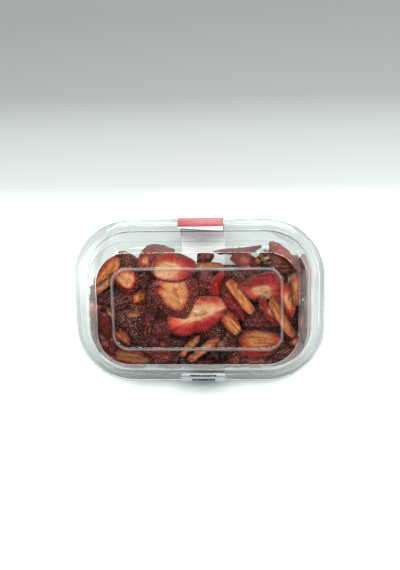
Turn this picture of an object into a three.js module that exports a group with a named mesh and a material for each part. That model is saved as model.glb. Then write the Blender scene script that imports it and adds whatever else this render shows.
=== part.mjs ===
// A shut tub of dried strawberry slices: a clear, thin-walled plastic tub, its clear snap-on lid with a
// low dome, the slices heaped inside, and one strip of paper label that seals the pack all the way round.
// Millimetres, +Z up. The origin is the middle of the underside, and X runs along the tub.
import * as THREE from "three";

// ---- Driving dimensions -------------------------------------------------------------------------

const TUB_LENGTH = 180;        // over the lid's rim, along X
const TUB_WIDTH = 120;         // over the lid's rim, along Y
const RIM_CORNER = 42;         // radius of the rim's corners seen from above
const RIM_HEIGHT = 31;         // top of the lid's rim above the ground
const PLASTIC = 0.8;           // thickness of the tub's and the lid's wall
const PAPER = 0.3;             // thickness of the label strip
const GAP = 0.3;               // air between touching pieces

// Everything on the lid and tub follows the rim's outline, drawn in by an inset.
const SKIRT_DROP = 3.4;        // lid's turned-down edge, which snaps over the tub's flange
const RIM_FLAT = 3.5;          // flat outer part of the rim
const STEP_RISE = 1.4;         // the rim's inner shelf stands this much higher
const DOME_FOOT = 8.2;         // inset where the dome's wall leaves the shelf
const DOME_WALL_TOP = 13.3;    // inset where the steep wall turns into the slope
const DOME_WALL_RISE = 15.5;   // height of that turn above the rim
const PANEL_EDGE = 19.8;       // inset where the slope meets the flat panel
const PANEL_RISE = 22.5;       // height of the flat panel above the rim
const BEAD_INSET = 31.3;       // middle line of the stacking bead on the panel
const BEAD_HALF_WIDTH = 0.9;
const BEAD_RISE = 1.1;

const FLANGE_WIDTH = 8.4;      // tub's flange, from its edge to the mouth of the tub
const BASE_INSET = 18.6;       // inset of the tub's outer wall at its foot
const BASE_ROUND = 4;          // radius where the tub's wall turns into its base
const BASE_ROUND_STEPS = 3;
const WALL_LEAN = 0.38;        // radians that the tub's wall leans outwards

const HEAP_CLEARANCE = 1.2;    // slices to the plastic around them
const HEAP_BACK_GAP = 8;       // the slices have settled this far away from the tub's back wall
const HEAP_DIP = 4;            // how far the heap sinks along its back edge
const HEAP_LUMP = 2.6;         // height of the bumps that the slices make

const LABEL_WIDTH = 32;
const LABEL_OFFSET = 2;        // the strip sits a little to +X of the middle
const LABEL_LAP_FRONT = 6.2;   // how far its front end reaches over the rim
const LABEL_LAP_BACK = 7.8;    // how far its loose back end reaches over the rim
const LABEL_CURL = 3.2;        // how high that loose end stands off the lid

const CORNER_STEPS = 7;        // facets round each corner of the tub and the lid
const HEAP_CORNER_STEPS = 4;
const HEAP_SIDE_STEPS = [6, 3];

const BASE_Z = PAPER + GAP;    // the tub's underside rests on the strip that passes beneath it

// ---- Outlines: rounded rectangles drawn in from the rim -----------------------------------------

// One ring of points at the given inset and height, counter-clockwise from above.
function rimRing(inset, z, cornerSteps = CORNER_STEPS, sideSteps = [1, 1]) {
  const radius = Math.max(RIM_CORNER - inset, 3);
  const halfX = TUB_LENGTH / 2 - inset - radius;
  const halfY = TUB_WIDTH / 2 - inset - radius;
  const ring = [];
  for (let corner = 0; corner < 4; corner += 1) {
    const signX = corner === 0 || corner === 3 ? 1 : -1;
    const signY = corner < 2 ? 1 : -1;
    for (let step = 0; step <= cornerSteps; step += 1) {
      const angle = ((corner + step / cornerSteps) * Math.PI) / 2;
      ring.push(new THREE.Vector3(
        signX * halfX + radius * Math.cos(angle),
        signY * halfY + radius * Math.sin(angle),
        z,
      ));
    }
    // Points along the straight side that follows this corner.
    const along = corner % 2 === 0 ? halfX : halfY;
    const count = sideSteps[corner % 2];
    const start = ring[ring.length - 1].clone();
    const turn = ((corner + 1) * Math.PI) / 2;
    const heading = new THREE.Vector3(-Math.sin(turn), Math.cos(turn), 0);
    for (let step = 1; step < count; step += 1) {
      ring.push(start.clone().addScaledVector(heading, (2 * along * step) / count));
    }
  }
  return ring;
}

// A closed body skinned over rings that run from its top middle outwards, down, and back in underneath.
function bodyFromRings(rings) {
  const count = rings[0].length;
  const corners = [];
  const middle = (ring) => (
    ring.reduce((sum, point) => sum.add(point), new THREE.Vector3()).divideScalar(count)
  );
  const face = (a, b, c) => corners.push(...a.toArray(), ...b.toArray(), ...c.toArray());
  const top = middle(rings[0]);
  const bottom = middle(rings[rings.length - 1]);
  for (let i = 0; i < count; i += 1) {
    const next = (i + 1) % count;
    face(top, rings[0][i], rings[0][next]);
    for (let level = 0; level + 1 < rings.length; level += 1) {
      const upper = rings[level];
      const lower = rings[level + 1];
      face(upper[i], lower[i], lower[next]);
      face(upper[i], lower[next], upper[next]);
    }
    face(bottom, rings[rings.length - 1][next], rings[rings.length - 1][i]);
  }
  const geometry = new THREE.BufferGeometry();
  geometry.setAttribute("position", new THREE.Float32BufferAttribute(corners, 3));
  geometry.computeVertexNormals();
  return geometry;
}

// The same profile moved sideways by a thickness: each point along the mean of its two edges' normals.
function offsetProfile(profile, distance) {
  return profile.map(([inset, z], index) => {
    const before = profile[Math.max(index - 1, 0)];
    const after = profile[Math.min(index + 1, profile.length - 1)];
    const edge = (from, to) => new THREE.Vector2(to[0] - from[0], to[1] - from[1]).normalize();
    const first = index > 0 ? edge(before, [inset, z]) : edge([inset, z], after);
    const second = index < profile.length - 1 ? edge([inset, z], after) : first;
    const mean = first.clone().add(second).normalize();
    const stretch = distance / Math.max(mean.dot(first), 0.5);
    return [inset - mean.y * stretch, z + mean.x * stretch];
  });
}

// ---- Lid ----------------------------------------------------------------------------------------

// Outer profile of the lid as [inset, height], from the middle of the panel out to the skirt's edge.
function lidProfile() {
  const rim = RIM_HEIGHT;
  const panel = rim + PANEL_RISE;
  return [
    [BEAD_INSET + BEAD_HALF_WIDTH + 0.3, panel],
    [BEAD_INSET + BEAD_HALF_WIDTH * 0.6, panel + BEAD_RISE * 0.8],
    [BEAD_INSET, panel + BEAD_RISE],
    [BEAD_INSET - BEAD_HALF_WIDTH * 0.6, panel + BEAD_RISE * 0.8],
    [BEAD_INSET - BEAD_HALF_WIDTH - 0.3, panel],
    [PANEL_EDGE + 0.8, panel],
    [PANEL_EDGE - 0.6, panel - 0.4],
    [DOME_WALL_TOP + 0.8, rim + DOME_WALL_RISE + 0.9],
    [DOME_WALL_TOP - 0.3, rim + DOME_WALL_RISE - 0.9],
    [DOME_FOOT + 0.5, rim + STEP_RISE + 0.6],
    [DOME_FOOT - 0.3, rim + STEP_RISE],
    [RIM_FLAT + 0.9, rim + STEP_RISE],
    [RIM_FLAT, rim],
    [0.5, rim],
    [0, rim - 0.5],
    [0, rim - SKIRT_DROP],
  ];
}

function makeLid() {
  const outer = lidProfile();
  const inner = offsetProfile(outer, PLASTIC);
  const profile = [...outer, ...inner.reverse()];
  return bodyFromRings(profile.map(([inset, z]) => rimRing(inset, z)));
}

// ---- Tub ----------------------------------------------------------------------------------------

// Inner profile of the tub as [inset, height], from the middle of its floor out to the flange's edge.
function tubProfile() {
  const flangeTop = RIM_HEIGHT - PLASTIC - GAP;
  const flangeEdge = PLASTIC + GAP;
  const mouth = flangeEdge + FLANGE_WIDTH;
  const floorTop = BASE_Z + PLASTIC;
  const foot = BASE_INSET + PLASTIC;
  const profile = [];
  for (let step = 0; step <= BASE_ROUND_STEPS; step += 1) {
    const angle = (step / BASE_ROUND_STEPS) * (Math.PI / 2 - WALL_LEAN);
    profile.push([
      foot + BASE_ROUND * (1 - Math.sin(angle)),
      floorTop + BASE_ROUND * (1 - Math.cos(angle)),
    ]);
  }
  profile.push([mouth + 0.5, flangeTop - 0.7]);
  profile.push([mouth - 0.3, flangeTop]);
  profile.push([flangeEdge, flangeTop]);
  return profile;
}

function makeTub() {
  const inner = tubProfile();
  const outer = offsetProfile(inner, PLASTIC);
  const profile = [...inner, ...outer.reverse()];
  return bodyFromRings(profile.map(([inset, z]) => rimRing(inset, z)));
}

// ---- Slices -------------------------------------------------------------------------------------

// Uneven top of the heap: slices lie at all angles, so the surface is a few crossed waves.
function heapBump(x, y) {
  const wave = Math.sin(x / 7.1 + y / 11.3) + Math.sin(y / 6.3 - x / 13.7) + Math.sin((x + y) / 17.9 + 1.2);
  return (HEAP_LUMP * (wave - 3)) / 6;
}

function makeHeap() {
  const wall = tubProfile().filter(([inset]) => inset > PLASTIC + GAP + 1);
  const ringOf = (inset, z) => rimRing(inset, z, HEAP_CORNER_STEPS, HEAP_SIDE_STEPS).map((point) => {
    point.y -= HEAP_BACK_GAP * THREE.MathUtils.smoothstep(point.y, 12, 42);
    return point;
  });
  const roof = RIM_HEIGHT + PANEL_RISE - PLASTIC - HEAP_CLEARANCE;
  const backDip = (y) => HEAP_DIP * THREE.MathUtils.smoothstep(y, 18, 42);

  // Top surface, from the middle out to where the dome's slope begins.
  const topInsets = [52, 44, 37, 31, 26, PANEL_EDGE + 2.2];
  const top = topInsets.map((inset) => ringOf(inset, roof).map((point) => {
    point.z = roof + heapBump(point.x, point.y) - backDip(point.y);
    return point;
  }));

  // Shoulder and sides: down inside the dome, then down the tub's wall to its floor.
  const shoulder = [
    [DOME_WALL_TOP + 3.8, RIM_HEIGHT + DOME_WALL_RISE - 1.5],
    [DOME_WALL_TOP + 2.6, RIM_HEIGHT + DOME_WALL_RISE - 6],
  ].map(([inset, z]) => ringOf(inset, z).map((point) => {
    point.z = z + heapBump(point.x, point.y) * 0.5 - backDip(point.y) * 0.75;
    return point;
  }));
  const sides = [...wall].reverse().slice(1).map(([inset, z]) => (
    ringOf(inset + HEAP_CLEARANCE, Math.max(z, BASE_Z + PLASTIC + HEAP_CLEARANCE * 0.5))
  ));
  return bodyFromRings([...top, ...shoulder, ...sides]);
}

// ---- Label strip --------------------------------------------------------------------------------

// The strip's inner face in the plane across the tub, as [y, height], from its front end to its back end.
function labelPath() {
  const clear = GAP;
  const edge = TUB_WIDTH / 2 + clear;
  const rim = RIM_HEIGHT + clear;
  const shelf = rim + STEP_RISE;
  const foot = TUB_WIDTH / 2 - BASE_INSET + clear;
  const under = BASE_Z - clear;
  const half = TUB_WIDTH / 2;
  const front = [
    [-(half - LABEL_LAP_FRONT), shelf],
    [-(half - RIM_FLAT - 0.6), shelf],
    [-(half - RIM_FLAT + 0.3), rim],
    [-(half - 0.4), rim],
    [-edge, rim - 0.8],
    [-edge, RIM_HEIGHT - SKIRT_DROP],
    [-(foot + 0.8), under + 2.4],
    [-(foot - BASE_ROUND * 0.7), under],
  ];
  const back = [
    [foot - BASE_ROUND * 0.7, under],
    [foot + 0.8, under + 2.4],
    [edge, RIM_HEIGHT - SKIRT_DROP],
    [edge, rim - 0.8],
    [half - 0.4, rim],
  ];
  // The loose end rises off the rim in a soft curve.
  const curlStart = 1;
  const curlSteps = 6;
  for (let step = 0; step <= curlSteps; step += 1) {
    const share = step / curlSteps;
    const inset = THREE.MathUtils.lerp(curlStart, LABEL_LAP_BACK, share);
    back.push([half - inset, rim + LABEL_CURL * Math.sin((share * Math.PI) / 2) ** 2]);
  }
  return [...front, ...back];
}

function makeLabel() {
  const inner = labelPath();
  const outer = offsetProfile(inner, -PAPER);
  const outline = new THREE.Shape([...inner, ...outer.reverse()].map(([y, z]) => new THREE.Vector2(y, z)));
  const geometry = new THREE.ExtrudeGeometry(outline, { depth: LABEL_WIDTH, bevelEnabled: false });
  // The outline was drawn in its own x and y: turn those into Y and Z, and the extrusion into X.
  geometry.applyMatrix4(new THREE.Matrix4().makeBasis(
    new THREE.Vector3(0, 1, 0),
    new THREE.Vector3(0, 0, 1),
    new THREE.Vector3(1, 0, 0),
  ));
  geometry.translate(LABEL_OFFSET - LABEL_WIDTH / 2, 0, 0);
  return geometry;
}

// ---- Materials and assembly ---------------------------------------------------------------------

const materials = {
  clearPlastic: new THREE.MeshStandardMaterial({
    color: 0xdcebe8, roughness: 0.06, metalness: 0, transparent: true, opacity: 0.3,
  }),
  driedFruit: new THREE.MeshStandardMaterial({ color: 0x7a2a20, roughness: 0.75, metalness: 0 }),
  labelPaper: new THREE.MeshStandardMaterial({ color: 0xe9e6e4, roughness: 0.6, metalness: 0 }),
};

function addPiece(group, name, geometry, material) {
  const mesh = new THREE.Mesh(geometry, material);
  mesh.name = name;
  group.add(mesh);
}

const pack = new THREE.Group();
addPiece(pack, "tub", makeTub(), materials.clearPlastic);
addPiece(pack, "lid", makeLid(), materials.clearPlastic);
addPiece(pack, "strawberry_slices", makeHeap(), materials.driedFruit);
addPiece(pack, "label_strip", makeLabel(), materials.labelPaper);

export default pack;
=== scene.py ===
# %% [markdown]
# # A shut tub of dried strawberry slices
#
# A clear, thin-walled plastic tub stands on a white surface. Its clear lid snaps over the rim and rises in
# a low dome, the tub is full of dried strawberry slices, and a strip of paper label seals it all round.
#
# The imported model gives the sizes. This script builds the looks around it: smooth plastic shells, the
# paper strip with its loose end, and a heap of single slices over a small dark core.

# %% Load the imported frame
import math
from types import SimpleNamespace
import bpy
import numpy as np
from mathutils import Matrix, Vector


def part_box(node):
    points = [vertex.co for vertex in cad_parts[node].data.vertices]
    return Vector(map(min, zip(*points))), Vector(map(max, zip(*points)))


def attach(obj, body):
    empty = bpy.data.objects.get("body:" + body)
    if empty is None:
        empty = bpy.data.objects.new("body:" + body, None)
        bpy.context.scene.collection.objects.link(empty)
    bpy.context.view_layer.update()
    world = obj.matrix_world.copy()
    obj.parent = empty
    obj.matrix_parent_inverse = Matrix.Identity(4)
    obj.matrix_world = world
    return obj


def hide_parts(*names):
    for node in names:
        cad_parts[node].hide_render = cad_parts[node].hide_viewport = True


MM = 0.001
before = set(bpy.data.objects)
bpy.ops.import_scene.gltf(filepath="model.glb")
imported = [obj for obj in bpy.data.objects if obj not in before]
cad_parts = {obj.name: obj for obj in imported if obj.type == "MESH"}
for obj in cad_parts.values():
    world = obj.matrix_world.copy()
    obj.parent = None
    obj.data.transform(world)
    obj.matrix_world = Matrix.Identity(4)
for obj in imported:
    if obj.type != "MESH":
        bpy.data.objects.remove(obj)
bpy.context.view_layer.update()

_, lid_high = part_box("lid")
tub_low, tub_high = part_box("tub")
strip_low, strip_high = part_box("label_strip")
RIM_X = lid_high.x / MM
RIM_Y = lid_high.y / MM
print("rim half sizes in mm:", round(RIM_X, 1), round(RIM_Y, 1), "lid top:", round(lid_high.z / MM, 1))

# %% [markdown]
# ## Sizes that the plastic shares
#
# Every line on the tub and the lid runs parallel to the rim, so a place on the plastic is an *inset*, its
# distance in from the rim's outline, and a height. A whole shell is then one short profile of inset and
# height, carried round a rounded rectangle. That is how the forming tool is drawn too, and it keeps the
# two shells nested without any fitting.

# %% The rim's outline and the profiles' heights, in millimetres
CORNER = 42.0       # radius of the rim's four corners
WALL = 0.45         # thickness of the plastic sheet
BEAD_RISE = 1.1     # stacking bead over the lid's flat panel
PANEL_RISE = 22.5   # panel over the rim
STEP_RISE = 1.4     # the lid's shelf over the rim
PANEL_Z = lid_high.z / MM - BEAD_RISE
RIM_Z = PANEL_Z - PANEL_RISE
BASE_Z = tub_low.z / MM
print("heights in mm: base", round(BASE_Z, 1), "rim", round(RIM_Z, 1), "panel", round(PANEL_Z, 1))


def inset_of(x, y):
    """Distance in from the rim's outline, and the direction straight outwards, at points in millimetres."""
    qx = np.abs(x) - (RIM_X - CORNER)
    qy = np.abs(y) - (RIM_Y - CORNER)
    outside = np.hypot(np.maximum(qx, 0), np.maximum(qy, 0))
    inset = CORNER - outside - np.minimum(np.maximum(qx, qy), 0)
    in_corner = (qx > 0) & (qy > 0)
    gx = np.where(in_corner, qx / np.maximum(outside, 1e-6), (qx >= qy).astype(float))
    gy = np.where(in_corner, qy / np.maximum(outside, 1e-6), (qx < qy).astype(float))
    return inset, gx * np.sign(x), gy * np.sign(y)


def rim_ring(inset, z, corner_steps, long_steps, short_steps):
    """Points at height z round the outline drawn in by an inset, counter-clockwise from above."""
    radius = max(CORNER - inset, 3.0)
    half_x, half_y = RIM_X - inset - radius, RIM_Y - inset - radius
    ring = []
    for corner, (sx, sy) in enumerate(((1, 1), (-1, 1), (-1, -1), (1, -1))):
        turn = corner * math.pi / 2
        for step in range(corner_steps + 1):
            a = turn + step / corner_steps * math.pi / 2
            ring.append((sx * half_x + radius * math.cos(a), sy * half_y + radius * math.sin(a), z))
        along, steps = ((half_x, long_steps), (half_y, short_steps))[corner % 2]
        a = turn + math.pi / 2
        start = ring[-1]
        for step in range(1, steps):
            far = 2 * along * step / steps
            ring.append((start[0] - far * math.sin(a), start[1] + far * math.cos(a), z))
    return np.array(ring)


# %% [markdown]
# ## From rings to a shell
#
# A thermoformed wall has no sharp edges: the sheet stretches over the tool in small rounds. A box with
# bevel and solidify modifiers could give such a shell, but each bend here has its own radius. So the
# helpers below take a profile of straight runs and a radius for each bend, round the bends into arcs,
# thicken the line to a wall, and skin rings over it. The result is one closed mesh with real thickness,
# which is what makes light bend at its edges as it does in real plastic.

# %% A mesh from points and faces
def mesh_piece(name, points, faces, material, smooth=True):
    """A new object from points in millimetres and a list of faces."""
    mesh = bpy.data.meshes.new(name)
    mesh.from_pydata((np.asarray(points) * MM).tolist(), [], faces)
    mesh.polygons.foreach_set("use_smooth", [smooth] * len(mesh.polygons))
    mesh.materials.append(material)
    mesh.update()
    piece = bpy.data.objects.new(name, mesh)
    bpy.context.scene.collection.objects.link(piece)
    return piece


def give_values(piece, name, values):
    """Stores one number, or three, with each point of a piece, for its material to read."""
    values = np.asarray(values, np.float32)
    kind, field = ("FLOAT", "value") if values.ndim == 1 else ("FLOAT_VECTOR", "vector")
    piece.data.attributes.new(name, kind, "POINT").data.foreach_set(field, values.ravel())


print("sizes are in millimetres, and the scene's unit is", round(1 / MM), "of them")

# %% A line with rounded bends, and the same line moved sideways
def rounded_path(corners, steps=5):
    """A line through [a, b, radius] corners with each bend turned into an arc."""
    path = [np.array(corners[0][:2], float)]
    for before, here, after in zip(corners, corners[1:], corners[2:]):
        p, radius = np.array(here[:2], float), here[2]
        back = np.array(before[:2], float) - p
        on = np.array(after[:2], float) - p
        reach_limit = 0.49 * min(np.linalg.norm(back), np.linalg.norm(on))
        back, on = back / np.linalg.norm(back), on / np.linalg.norm(on)
        half = math.acos(max(-1.0, min(1.0, float(back @ on)))) / 2
        reach = min(radius / max(math.tan(half), 1e-3), reach_limit)
        if reach < 0.02:
            path.append(p)
            continue
        start, end = p + back * reach, p + on * reach
        for step in range(steps + 1):
            t = step / steps
            path.append((1 - t) ** 2 * start + 2 * t * (1 - t) * p + t**2 * end)
    path.append(np.array(corners[-1][:2], float))
    return np.array(path)


def unit(vectors):
    """The same directions, each 1 long."""
    return vectors / (np.linalg.norm(vectors, axis=1)[:, None] + 1e-9)


def offset_path(path, distance):
    """The same line moved to its left-hand side."""
    edges = unit(np.diff(path, axis=0))
    first = np.vstack([edges[:1], edges])
    second = np.vstack([edges, edges[-1:]])
    mean = unit(first + second)
    stretch = distance / np.maximum((mean * first).sum(1), 0.6)
    return path + np.stack([-mean[:, 1], mean[:, 0]], 1) * stretch[:, None]


bend = rounded_path([(0, 0, 0), (10, 0, 2), (10, 10, 0)])
print("a bend of 2 mm between runs of 10 mm goes from", bend[1], "to", bend[-2], "in", len(bend) - 3, "steps")

# %% A skin over rings, and a shell
def skin_rings(rings, inside_out=False):
    """Points and faces of a closed skin over a stack of rings, with a middle point at either end.

    The faces look outwards when the rings run down from the top. For rings that run up, turn them inside out.
    """
    count = len(rings[0])
    points = np.vstack(rings + [rings[0].mean(0)[None], rings[-1].mean(0)[None]])
    first, last = len(points) - 2, len(points) - 1
    faces = []
    for i in range(count):
        j = (i + 1) % count
        faces.append((first, i, j))
        for a in range(0, count * (len(rings) - 1), count):
            faces.append((a + i, a + count + i, a + count + j, a + j))
        end = count * (len(rings) - 1)
        faces.append((last, end + j, end + i))
    return points, [face[:1] + face[:0:-1] for face in faces] if inside_out else faces


CORNER_STEPS = 22
HAZE_SOFTNESS = 1.5
print("a ring of a shell has", len(rim_ring(0, 0, CORNER_STEPS, 6, 4)), "points")


def ring_shell(name, path, material, hazy=()):
    """A closed shell: the path on top, its offset underneath, rounded edges at the rim, flat in the middle.

    hazy lists (inset, half width, amount) for the lines where the moulded sheet is milky.
    """
    under = offset_path(path, WALL)
    edge_out = path[-1] - path[-2]
    edge_out = (path[-1] + under[-1]) / 2 + edge_out / np.linalg.norm(edge_out) * WALL * 0.45
    profile = np.vstack([path, edge_out[None], under[::-1]])
    rings = [rim_ring(inset, z, CORNER_STEPS, 6, 4) for inset, z in profile]
    points, faces = skin_rings(rings)
    piece = mesh_piece(name, points, faces, material)
    haze = np.zeros(len(profile))
    for inset, half_width, amount in hazy:
        haze += amount * np.clip(HAZE_SOFTNESS - np.abs(profile[:, 0] - inset) / half_width, 0, 1)
    give_values(piece, "haze", np.append(np.repeat(haze, len(rings[0])), [0, 0]))
    print(name, "has", len(points), "points in", len(rings), "rings")
    return piece


# %% [markdown]
# ## Helpers for materials
#
# A material is a tree of nodes. Made by hand in the shader editor, each node is dragged in and wired up.
# These helpers do the same in one line per node, so that a material below reads like a recipe.

# %% Shared node helpers
def add_node(tree, kind, links=(), **values):
    """A new node. Values go to the node's own settings if it has them, and to its sockets otherwise."""
    node = tree.nodes.new("ShaderNode" + kind)
    for key, value in values.items():
        if hasattr(node, key):
            setattr(node, key, value)
        else:
            node.inputs[key.replace("_", " ")].default_value = value
    for socket, source in dict(links).items():
        tree.links.new(source, node.inputs[socket])
    return node


def new_material(name):
    """A new material's node tree, a function that adds nodes to it, and one that ends it with a shader."""
    material = bpy.data.materials.new(name)
    material.use_nodes = True
    tree = material.node_tree
    tree.nodes.clear()

    def add(kind, links=(), **values):
        return add_node(tree, kind, links, **values)

    def finish(shader):
        add("OutputMaterial", {"Surface": shader.outputs[0]})
        return material

    return tree, add, finish


# %% Nodes for values and colours
def attribute(tree, name, output="Fac"):
    """A value, or with output "Vector" three, that was stored with a piece's points."""
    return add_node(tree, "Attribute", attribute_name=name).outputs[output]


def plug(tree, node, index, value):
    """Sets a socket to a plain value, or links it to another node's socket."""
    if isinstance(value, bpy.types.NodeSocket):
        tree.links.new(value, node.inputs[index])
    else:
        node.inputs[index].default_value = value


def maths(tree, operation, *values):
    """The result of a sum on plain values or sockets."""
    node = add_node(tree, "Math", operation=operation)
    for index, value in enumerate(values):
        plug(tree, node, index, value)
    return node.outputs[0]


def ramp(tree, source, stops):
    """A colour ramp fed by a value: stops are (place, colour)."""
    node = add_node(tree, "ValToRGB", {0: source})
    while len(node.color_ramp.elements) < len(stops):
        node.color_ramp.elements.new(0.5)
    for element, (place, colour) in zip(node.color_ramp.elements, stops):
        element.position = place
        element.color = (*colour, 1.0)
    return node.outputs["Color"]


def fade(tree, value, start, end):
    """0 up to the start, 1 from the end on, and smooth between them."""
    return add_node(tree, "MapRange", {0: value}, interpolation_type="SMOOTHSTEP", From_Min=start,
                    From_Max=end).outputs[0]


def srgb(red, green, blue):
    """A colour given as it looks on a screen, 0 to 255, as linear light."""
    return tuple(c / 255 / 12.92 if c < 11 else ((c / 255 + 0.055) / 1.055) ** 2.4 for c in (red, green, blue))


print("half grey on a screen is", round(srgb(128, 128, 128)[0], 3), "as linear light")

# %% [markdown]
# ## Effects that several materials share
#
# Two effects turn up again and again: an uneven surface, whose light and dark patches are also its hills and
# hollows, and fibres, which are noise drawn out in one direction. Each is a node group, built once. A
# material places the group and gives it its own scale and strength.

# %% Node groups
def shared_effect(name, inputs, outputs):
    """An empty shader node group with named sockets: its tree, its inputs and its output node."""
    tree = bpy.data.node_groups.new(name, "ShaderNodeTree")
    for side, sockets in (("INPUT", inputs), ("OUTPUT", outputs)):
        for socket, kind in sockets.items():
            tree.interface.new_socket(name=socket, in_out=side, socket_type=f"NodeSocket{kind}")
    return tree, tree.nodes.new("NodeGroupInput").outputs, tree.nodes.new("NodeGroupOutput").inputs


def uneven_surface():
    tree, given, result = shared_effect(
        "uneven_surface", {"Place": "Vector", "Scale": "Float", "Detail": "Float", "Strength": "Float",
                           "Distance": "Float"}, {"Patches": "Float", "Normal": "Vector"})
    noise = add_node(tree, "TexNoise", {"Vector": given["Place"], "Scale": given["Scale"],
                                        "Detail": given["Detail"]})
    bump = add_node(tree, "Bump", {"Height": noise.outputs["Fac"], "Strength": given["Strength"],
                                   "Distance": given["Distance"]})
    tree.links.new(noise.outputs["Fac"], result["Patches"])
    tree.links.new(bump.outputs["Normal"], result["Normal"])
    return tree


def drawn_fibres():
    tree, given, result = shared_effect(
        "drawn_fibres", {"Place": "Vector", "Stretch": "Vector", "Detail": "Float", "Roughness": "Float"},
        {"Fibres": "Float"})
    stretched = add_node(tree, "VectorMath", {0: given["Place"], 1: given["Stretch"]}, operation="MULTIPLY")
    noise = add_node(tree, "TexNoise", {"Vector": stretched.outputs[0], "Detail": given["Detail"],
                                        "Roughness": given["Roughness"]}, Scale=1.0)
    tree.links.new(noise.outputs["Fac"], result["Fibres"])
    return tree


UNEVEN, FIBRES = uneven_surface(), drawn_fibres()
print("groups:", UNEVEN.name, FIBRES.name)

# %% [markdown]
# ## Clear plastic
#
# The real sheet is clear PET, about 0.4 mm thick. A Principled shader with full transmission bends and
# mirrors light as the real wall does. On its own it would block the lamps, because a path tracer can't aim
# through bent light, and the fruit would go dark. So rays on their way to a lamp, and the soft light that
# bounces about, see a plain Transparent shader in its place. The stretched sheet has a hardly visible
# ripple, from a very weak bump. Where the mould folds it tightly, at the stacking bead, it goes milky: the
# shell's haze value roughens the surface there and mixes in a little white.

# %% The clear plastic material
def clear_plastic(name, tint):
    tree, add, finish = new_material(name)
    ripple = add("Group", {"Place": add("TexCoord").outputs["Object"]}, node_tree=UNEVEN, Scale=55.0,
                 Detail=2.0, Strength=0.004, Distance=0.0002)
    haze = attribute(tree, "haze")
    roughness = maths(tree, "MULTIPLY", haze, 6.0)
    glass = add("BsdfPrincipled", {"Normal": ripple.outputs["Normal"], "Roughness": roughness},
                Base_Color=(*tint, 1.0), Transmission_Weight=1.0, IOR=1.5)
    through = add("BsdfTransparent", Color=(*(0.5 + 0.5 * c for c in tint), 1.0))
    path = add("LightPath").outputs
    lamp_ray = maths(tree, "MAXIMUM", path["Is Shadow Ray"], path["Is Diffuse Ray"])
    clear = add("MixShader", {"Fac": lamp_ray, 1: glass.outputs[0], 2: through.outputs[0]})
    milk = add("BsdfDiffuse", Color=(0.75, 0.76, 0.78, 1.0))
    return finish(add("MixShader", {"Fac": haze, 1: clear.outputs[0], 2: milk.outputs[0]}))


plastic = clear_plastic("clear_plastic", (0.978, 0.988, 0.985))
print("made", plastic.name)

# %% [markdown]
# ## Lid
#
# From the outside in, the lid has a turned-down skirt, a flat rim, a small step up to a shelf, a steep
# wall, a slope of about forty-five degrees, and the flat panel with its stacking bead, which keeps the
# next tub of a stack in place. All of it is one profile, listed here from the middle outwards with a
# radius for each bend, so one number moves a whole line of the lid.

# %% The lid's profile and shell
BEAD_INSET = 31.3
PANEL_EDGE = 19.8
DOME_WALL_TOP = 13.3
DOME_WALL_RISE = 15.5
DOME_FOOT = 8.2
RIM_FLAT = 3.5
SKIRT_DROP = 3.4

lid_corners = [
    (50.0, PANEL_Z, 0),
    (BEAD_INSET + 1.9, PANEL_Z, 0),
    (BEAD_INSET + 1.2, PANEL_Z, 0.3),
    (BEAD_INSET + 0.65, PANEL_Z + BEAD_RISE, 0.5),
    (BEAD_INSET - 0.65, PANEL_Z + BEAD_RISE, 0.5),
    (BEAD_INSET - 1.2, PANEL_Z, 0.3),
    (BEAD_INSET - 1.9, PANEL_Z, 0),
    (PANEL_EDGE, PANEL_Z, 1.2),
    (DOME_WALL_TOP, RIM_Z + DOME_WALL_RISE, 1.2),
    (DOME_FOOT, RIM_Z + STEP_RISE, 0.6),
    (RIM_FLAT + 0.9, RIM_Z + STEP_RISE, 0.5),
    (RIM_FLAT, RIM_Z, 0.5),
    (0.05, RIM_Z, 0.7),
    (0.05, RIM_Z - SKIRT_DROP, 0),
]
lid = ring_shell("clear_lid", rounded_path(lid_corners), plastic, hazy=[(BEAD_INSET, 0.55, 0.055)])
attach(lid, "root")
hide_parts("lid")
print("the lid's slope rises", round(PANEL_RISE - DOME_WALL_RISE, 1), "mm to the panel")

# %% [markdown]
# ## Tub
#
# The tub is the same idea upside down: a flange that sits under the lid's rim, a wall that leans
# outwards so that tubs nest when they are empty, and a base with a round foot. It's drawn with the same
# helper as the lid, because the two are formed from the same sheet and have to run side by side.

# %% The tub's profile and shell
FLANGE_Z = tub_high.z / MM
BASE_INSET = 19.4
MOUTH = 9.5

tub_corners = [
    (40.0, BASE_Z + 0.9, 0),
    (BASE_INSET + 7.0, BASE_Z + 0.9, 0.8),
    (BASE_INSET + 6.0, BASE_Z + 0.5, 0.8),
    (BASE_INSET + 0.6, BASE_Z + 0.5, 3.2),
    (MOUTH, FLANGE_Z, 0.9),
    (1.1, FLANGE_Z, 0),
]
tub = ring_shell("clear_tub", rounded_path(tub_corners), plastic)
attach(tub, "root")
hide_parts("tub")

# %% [markdown]
# ## Room for the slices
#
# Slices press against the inside of the pack. `keep_inside` knows the free space: for each height it gives
# the smallest inset a point may have, and it pushes points inwards until they fit. The slices have
# also settled away from the back wall, so the space is drawn in along that side.

# %% The free space inside the pack
CLEARANCE = 0.7
INNER_Z = np.array([BASE_Z + 1.5, BASE_Z + 5.0, FLANGE_Z, RIM_Z + STEP_RISE,
                    RIM_Z + DOME_WALL_RISE, PANEL_Z - 0.6])
INNER_INSET = np.array([BASE_INSET + 3.0, BASE_INSET + 0.4, MOUTH + 0.3, MOUTH + 0.2,
                        DOME_WALL_TOP + 0.6, PANEL_EDGE + 0.8]) + CLEARANCE
FLOOR_Z = BASE_Z + 1.8
CEILING_Z = PANEL_Z - WALL - 0.8
HEAP_TOP = 49.0
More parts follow.
